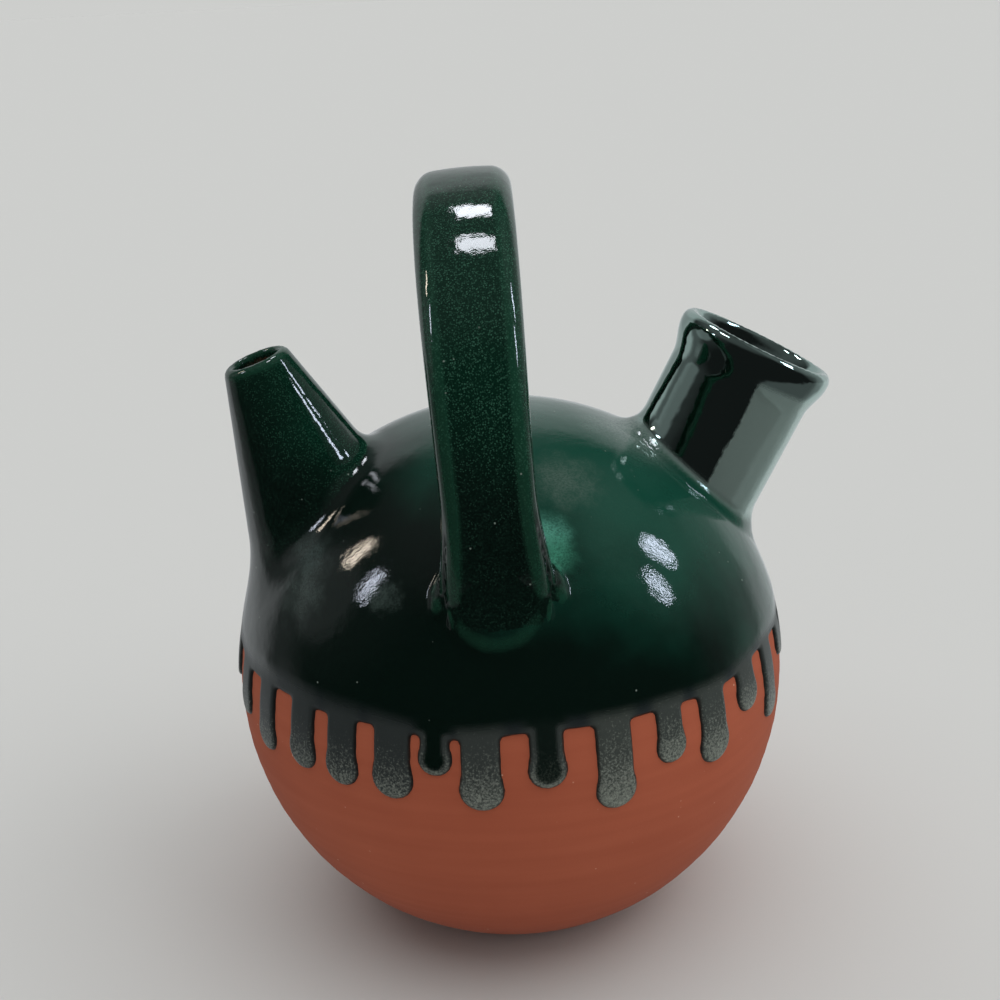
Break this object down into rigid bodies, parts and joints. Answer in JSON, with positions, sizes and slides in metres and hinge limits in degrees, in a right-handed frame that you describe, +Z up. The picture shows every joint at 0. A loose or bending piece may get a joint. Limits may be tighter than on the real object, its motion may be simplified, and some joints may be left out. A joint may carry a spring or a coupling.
{
  "type": "liquor jug",
  "caption": "Round earthenware liquor jug with a slim pouring spout, a wide filling neck, a strap handle over the crown and a green glaze that runs down in drips.",
  "frame": {"origin": "middle of the flat base, on the surface that the jug stands on", "axes": "+Z up, +X towards the filling neck, -X towards the pouring spout, -Y towards the front, 5 degrees from the handle's front foot"},
  "size_m": [0.1372, 0.1274, 0.1701],
  "materials": {
    "earthenware": "matte, unglazed red earthenware",
    "green_glaze": "glossy dark green lead-style glaze"
  },
  "bodies": {
    "root": {"globe": "earthenware", "pouring_spout": "earthenware", "filling_neck": "earthenware", "strap_handle": "earthenware", "spout_luting_coil": "green_glaze", "neck_luting_coil": "green_glaze", "handle_front_luting": "green_glaze", "handle_back_luting": "green_glaze", "body_glaze": "green_glaze", "spout_glaze": "green_glaze", "neck_glaze": "green_glaze", "handle_glaze": "green_glaze"}
  },
  "joints": []
}
